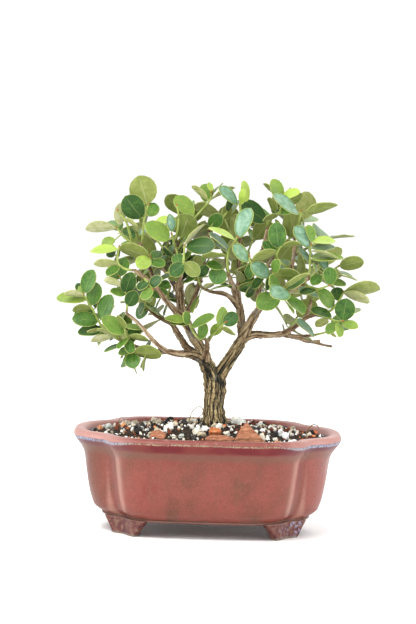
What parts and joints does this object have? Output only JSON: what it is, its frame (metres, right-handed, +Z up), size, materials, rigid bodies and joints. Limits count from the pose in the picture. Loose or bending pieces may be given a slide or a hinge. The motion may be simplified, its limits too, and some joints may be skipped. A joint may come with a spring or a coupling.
{
  "type": "potted bonsai tree",
  "caption": "Natal plum bonsai with forked trunk and round glossy leaves, in a lobed red glazed pot on ogee feet, dressed with pumice and bark.",
  "frame": {"origin": "on the ground, under the middle of the box round the whole plant and pot", "axes": "+Z up along the trunk and the height, +X to the right along the long side of the pot, -Y the side that faces the viewer"},
  "size_m": [0.2438, 0.163, 0.2681],
  "materials": {
    "glazed_pot": "gloss",
    "potting_mix": "matte",
    "stone_dressing": "matte",
    "bark_chips": "matte",
    "fired_clay_stone": "matte",
    "screen_mesh": "matte",
    "bark": "matte",
    "leaf_dark": "satin",
    "leaf_mid": "satin",
    "leaf_light": "satin"
  },
  "bodies": {
    "root": {"pot": "glazed_pot", "soil": "potting_mix", "gravel": "stone_dressing", "bark_chip_large": "bark_chips", "bark_chip_flat": "bark_chips", "bark_chip_left": "bark_chips", "clay_stone": "fired_clay_stone", "drain_screen_left": "screen_mesh", "drain_screen_right": "screen_mesh", "trunk_and_branches": "bark", "spray_topLeftOuter": "leaf_dark", "spray_topLeftUpright": "leaf_mid", "spray_frontLeftHigh": "leaf_light", "spray_leftCrown": "leaf_dark", "spray_crownLeft": "leaf_mid", "spray_crownInner": "leaf_light", "spray_frontCentreHigh": "leaf_dark", "spray_frontLeader": "leaf_mid", "spray_crownCentre": "leaf_light", "spray_crownRight": "leaf_dark", "spray_highRight": "leaf_mid", "spray_upperRight": "leaf_light", "spray_outerRight": "leaf_dark", "spray_rightMiddle": "leaf_mid", "spray_farRight": "leaf_light", "spray_lowRight": "leaf_dark", "spray_rightTwigTip": "leaf_mid", "spray_lowRightGreen": "leaf_light", "spray_farLeft": "leaf_dark", "spray_lowLeftFront": "leaf_mid", "spray_leftMiddle": "leaf_light", "spray_leftUpper": "leaf_dark", "spray_leftInnerFront": "leaf_mid", "spray_leftArmTip": "leaf_light", "spray_middleLeftBack": "leaf_dark", "spray_leftInside": "leaf_mid", "spray_spurLeft": "leaf_light", "spray_spurRight": "leaf_dark", "spray_leftForkLeaf": "leaf_mid", "spray_centreLeftTip": "leaf_light", "spray_frontCentreLow": "leaf_dark", "spray_frontRightHigh": "leaf_mid", "spray_frontRightLow": "leaf_light", "spray_innerRightHigh": "leaf_dark", "spray_backLeftTip": "leaf_mid", "spray_backLeftSide": "leaf_light", "spray_backLeftLow": "leaf_dark", "spray_backLeaderTip": "leaf_mid", "spray_backCentreTip": "leaf_light", "spray_backRightTip": "leaf_dark", "spray_backRightSide": "leaf_mid", "spray_backRightLow": "leaf_light", "spray_rightArmBack": "leaf_dark", "spray_rightLowBack": "leaf_mid", "spray_centreInside": "leaf_light", "spray_centreUpright": "leaf_dark", "spray_leaderInside": "leaf_mid", "spray_rightHighBack": "leaf_light", "spray_rightArmFront": "leaf_dark"}
  },
  "joints": []
}
